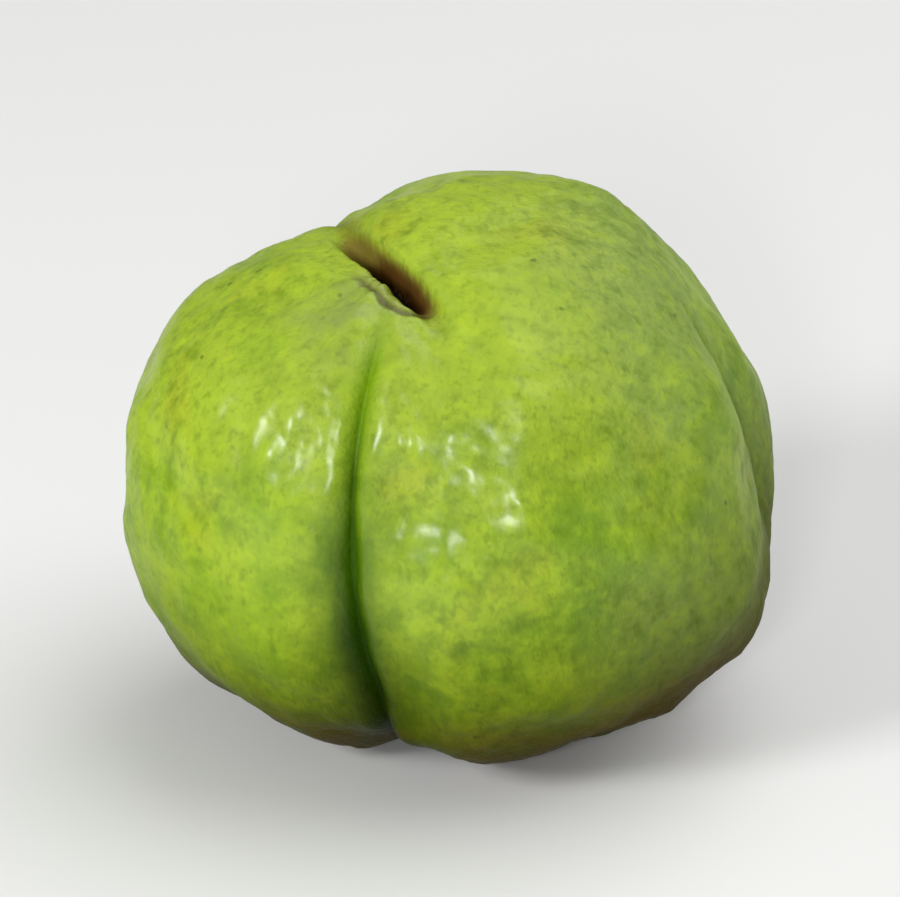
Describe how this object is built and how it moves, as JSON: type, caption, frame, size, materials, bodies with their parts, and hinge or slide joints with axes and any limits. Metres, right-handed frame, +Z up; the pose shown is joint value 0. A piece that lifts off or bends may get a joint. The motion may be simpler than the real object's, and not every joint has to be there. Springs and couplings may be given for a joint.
{
  "type": "guava",
  "caption": "Whole guava lying on a small flat spot: plump lobed fruit with deep furrows, a slot where the stalk was and a sunken crown of sepals at the other end.",
  "frame": {"origin": "on the surface the fruit rests on, below the middle of its outline", "axes": "+Z up, +X to the right of the side with the deep front furrow, -Y out of that side"},
  "size_m": [0.0932, 0.089, 0.0803],
  "materials": {
    "guava_skin": null,
    "dry_stalk": "dry dark brown fibrous stalk scar",
    "dry_flower": "dry brown remains of the flower"
  },
  "bodies": {
    "root": {"fruit": "guava_skin", "stalk_remains": "dry_stalk", "flower_remains": "dry_flower"}
  },
  "joints": []
}
